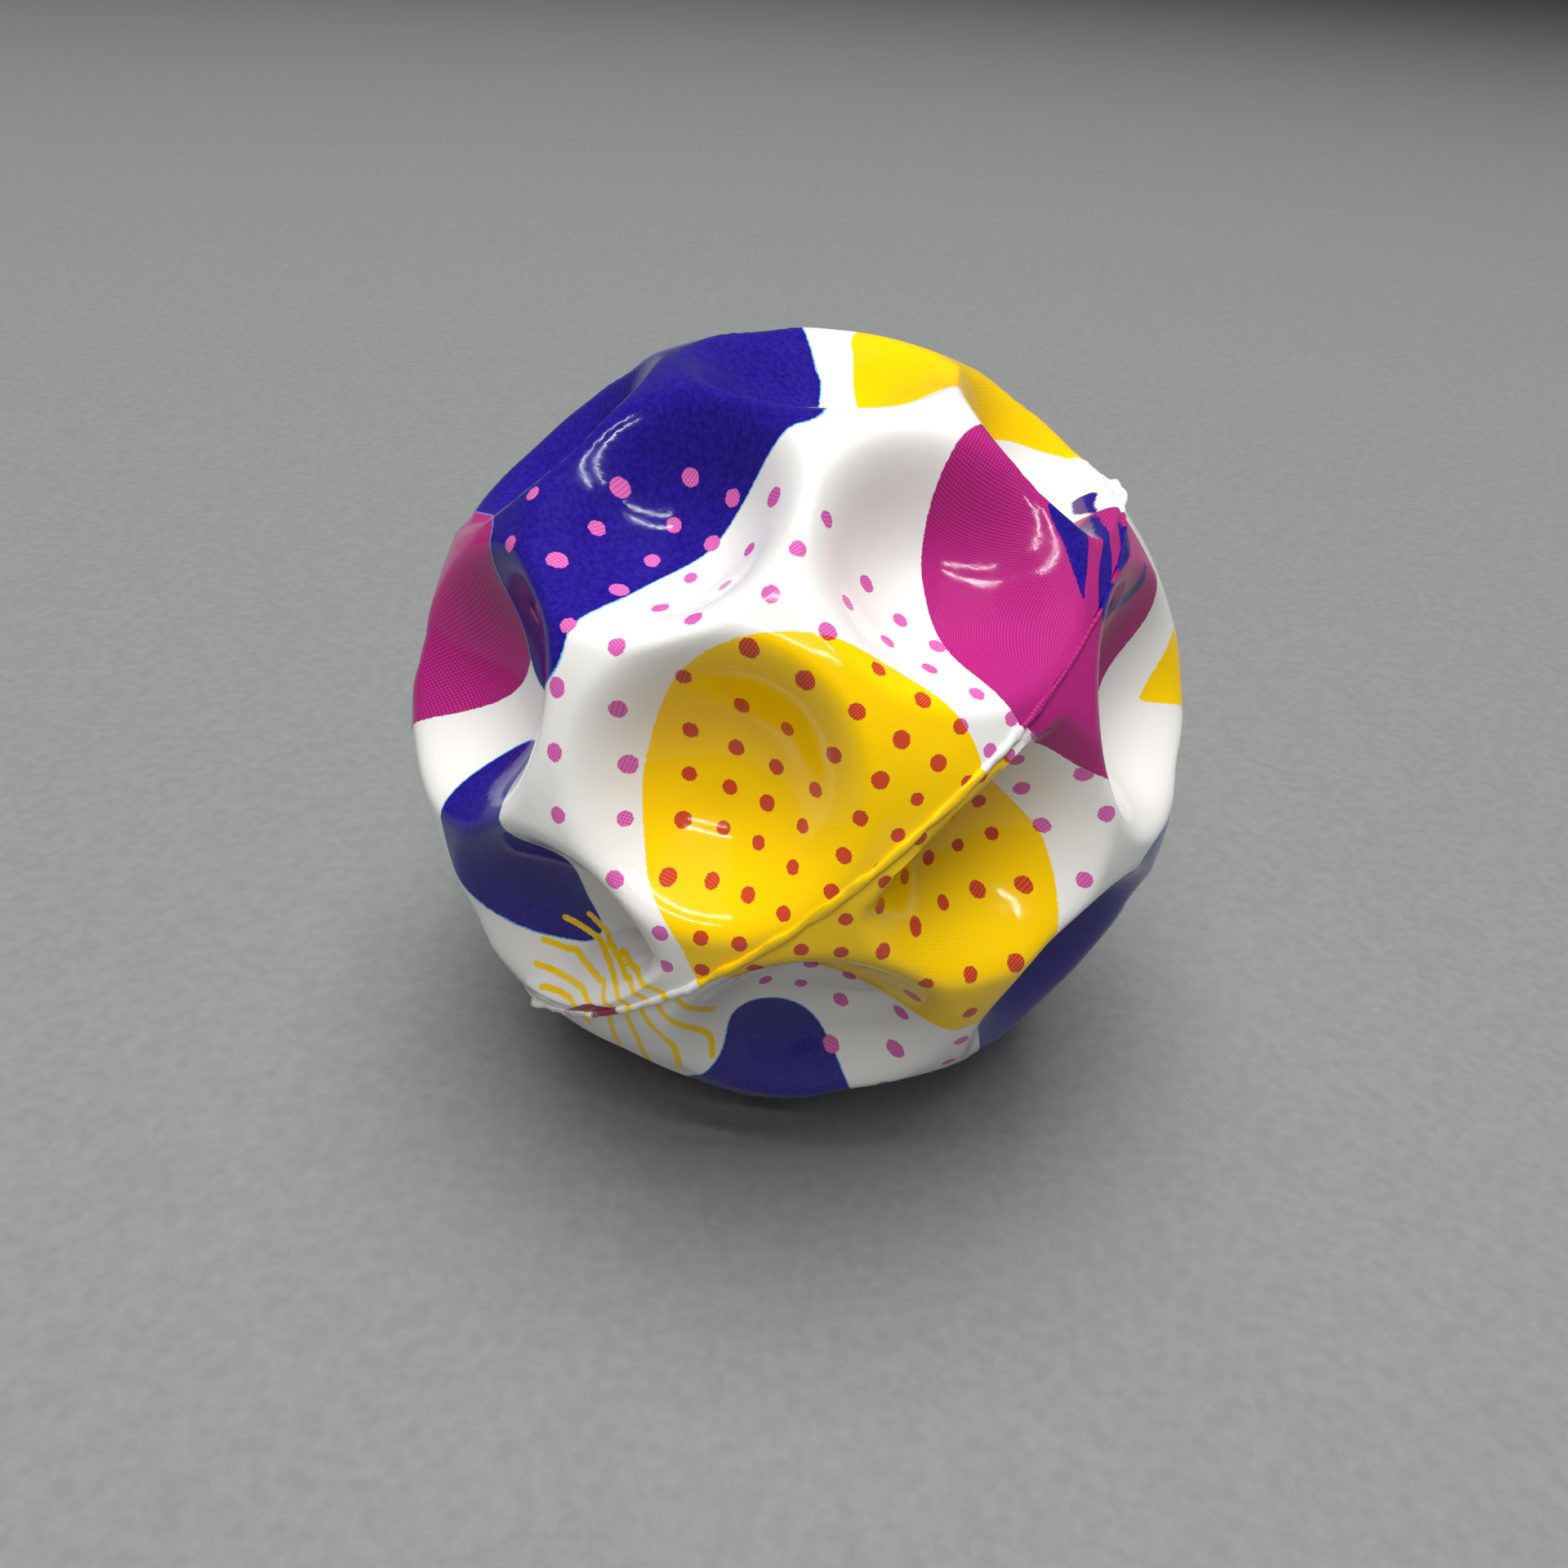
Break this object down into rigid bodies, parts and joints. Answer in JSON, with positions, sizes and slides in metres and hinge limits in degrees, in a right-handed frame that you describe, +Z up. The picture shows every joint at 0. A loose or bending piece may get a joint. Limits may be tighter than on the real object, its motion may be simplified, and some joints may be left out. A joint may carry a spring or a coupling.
{
  "type": "juggling ball",
  "caption": "Round foam juggling ball with deep round craters all over, in two printed film skins joined along a raised parting line.",
  "frame": {"origin": "middle of the ball, where the parting plane and the mould axis meet", "axes": "+Z up as the ball rests on one crater's rim; the mould axis leans 41.8 degrees from +Z towards -X"},
  "size_m": [0.0642, 0.0656, 0.0612],
  "materials": {
    "core_foam": "open-celled cream polyurethane foam, matt",
    "printed_film_upper": "glossy white film, printed in indigo, magenta and yellow",
    "printed_film_lower": "glossy white film, printed in indigo, magenta and yellow",
    "seam_edge": "trimmed film edge, slightly ragged, semi-gloss"
  },
  "bodies": {
    "root": {"foam_core": "core_foam", "upper_skin": "printed_film_upper", "lower_skin": "printed_film_lower", "seam_bead": "seam_edge"}
  },
  "joints": []
}
